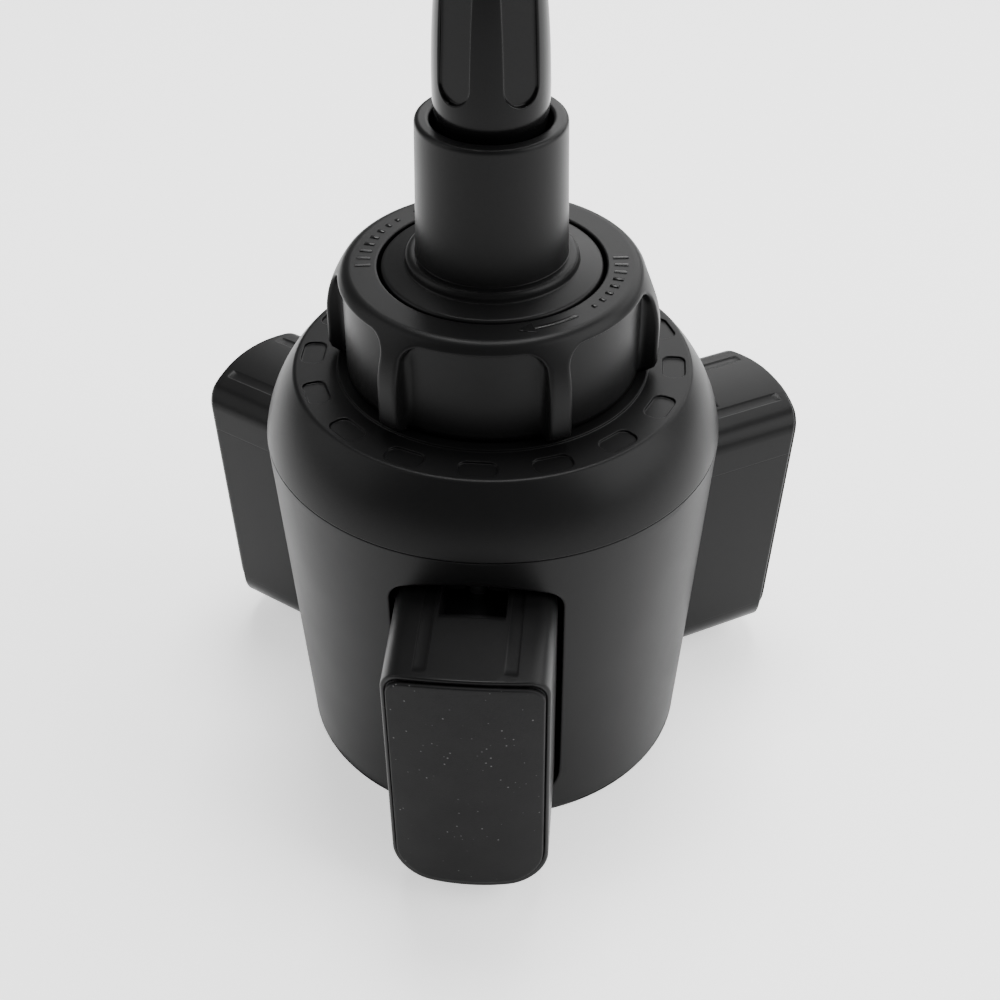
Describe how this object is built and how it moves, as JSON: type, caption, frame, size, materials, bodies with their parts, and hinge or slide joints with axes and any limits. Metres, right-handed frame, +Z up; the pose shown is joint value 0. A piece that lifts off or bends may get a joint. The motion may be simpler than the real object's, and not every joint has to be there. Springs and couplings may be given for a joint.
{
  "type": "expanding cup holder base of a car device mount",
  "caption": "Tapered base that is pushed into the cup holder of a car; turning its ribbed knob drives padded jaws out to grip the cup holder, and a collar holds the lower end of an arm.",
  "frame": {"origin": "centre of the underside of the base plate, on the upright axis of the knob", "axes": "+Z up along the axis of the knob, -Y towards the front jaw"},
  "size_m": [0.098, 0.0872, 0.15],
  "materials": {
    "shell_plastic": "black, fine satin moulding",
    "knob_plastic": "black, satin",
    "collar_plastic": "black, satin",
    "arm_plastic": "black, polished",
    "jaw_plastic": "black, satin",
    "grip_rubber": "black, matt",
    "inner_plastic": "dark grey, plain",
    "pin_steel": "ground",
    "screw_steel": "black zinc"
  },
  "bodies": {
    "base": {"body_shell": "shell_plastic", "base_plate": "shell_plastic", "base_screws": "screw_steel", "centre_post": "inner_plastic", "post_screws": "screw_steel", "guide_plate": "inner_plastic", "guide_screws": "screw_steel", "shoulder_cap": "shell_plastic", "collar": "collar_plastic", "collar_screw": "screw_steel", "neck": "arm_plastic"},
    "turning_knob": {"knob": "knob_plastic", "cam_disc": "inner_plastic", "knob_screws": "screw_steel", "thrust_washer": "inner_plastic"},
    "front_jaw": {"jaw_front": "jaw_plastic", "grip_pad_front": "grip_rubber", "follower_pin_front": "pin_steel"},
    "right_jaw": {"jaw_right": "jaw_plastic", "grip_pad_right": "grip_rubber", "follower_pin_right": "pin_steel"},
    "left_jaw": {"jaw_left": "jaw_plastic", "grip_pad_left": "grip_rubber", "follower_pin_left": "pin_steel"}
  },
  "joints": [
    {"name": "knob_turn", "type": "hinge", "parent": "base", "child": "turning_knob", "pos_m": [0, 0, 0.07], "axis": [0, 0, 1], "range_deg": [0, 150]},
    {"name": "front_jaw_slide", "type": "slide", "parent": "base", "child": "front_jaw", "axis": [0, -1, 0], "range_m": [-0.01723, 0]},
    {"name": "right_jaw_slide", "type": "slide", "parent": "base", "child": "right_jaw", "axis": [0.866, 0.5, 0], "range_m": [-0.01723, 0]},
    {"name": "left_jaw_slide", "type": "slide", "parent": "base", "child": "left_jaw", "axis": [-0.866, 0.5, 0], "range_m": [-0.01723, 0]}
  ],
  "couplings": [
    {"joint": "front_jaw_slide", "follows": "knob_turn", "m_per_rad": -0.0065813},
    {"joint": "right_jaw_slide", "follows": "knob_turn", "m_per_rad": -0.0065813},
    {"joint": "left_jaw_slide", "follows": "knob_turn", "m_per_rad": -0.0065813}
  ]
}
